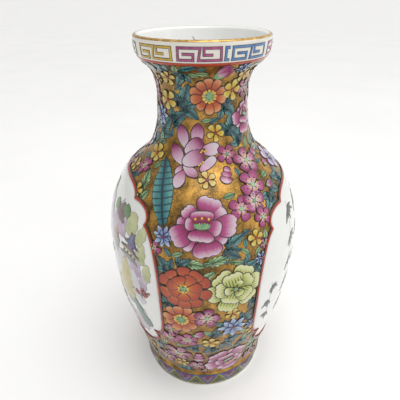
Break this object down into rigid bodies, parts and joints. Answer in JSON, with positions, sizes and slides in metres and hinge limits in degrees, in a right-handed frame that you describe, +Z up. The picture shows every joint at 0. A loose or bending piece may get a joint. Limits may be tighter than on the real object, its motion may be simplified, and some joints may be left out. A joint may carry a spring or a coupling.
{
  "type": "porcelain vase",
  "caption": "Baluster vase with a short neck and cupped mouth, gilt floral ground, two lobed picture panels, a fret band at the lip and a lappet band on the foot.",
  "frame": {"origin": "centre of the rim that the vase stands on, at the height of the table", "axes": "+Z up the vase's axis; -Y out through the middle of the front flower strip, +X and -X out through the two painted panels; the right one is turned 1.4 degrees towards the front and sits 5 mm lower"},
  "size_m": [0.131, 0.131, 0.2502],
  "materials": {
    "white_glaze": "clear glossy glaze over white porcelain",
    "bare_foot": "glazed side with an unglazed standing rim",
    "bright_gilding": "burnished gold line, thin and slightly worn",
    "gilt_ground": "brushed antique gold under a clear glaze",
    "fret_enamel": "translucent coloured enamels with dark outlines on white",
    "iron_red": "thin iron-red enamel line",
    "lappet_enamel": "alternating blue, magenta, yellow and green enamel lappets",
    "panel_glaze": "white glaze reserved for a painted scene",
    "flower_enamel": "thick glossy flower and leaf enamels with dark drawn edges, painted on the gold ground",
    "panel_paint": "thin landscape and brushwork enamels painted on the white panels"
  },
  "bodies": {
    "root": {"foot_ring": "bare_foot", "lower_body": "white_glaze", "upper_body": "white_glaze", "neck": "white_glaze", "mouth": "white_glaze", "lip_gilding": "bright_gilding", "key_fret_band": "fret_enamel", "mouth_line": "iron_red", "gilt_ground": "gilt_ground", "right_panel_frame": "iron_red", "right_painted_panel": "panel_glaze", "left_panel_frame": "iron_red", "left_painted_panel": "panel_glaze", "waist_line": "bright_gilding", "lappet_band": "lappet_enamel"}
  },
  "joints": []
}
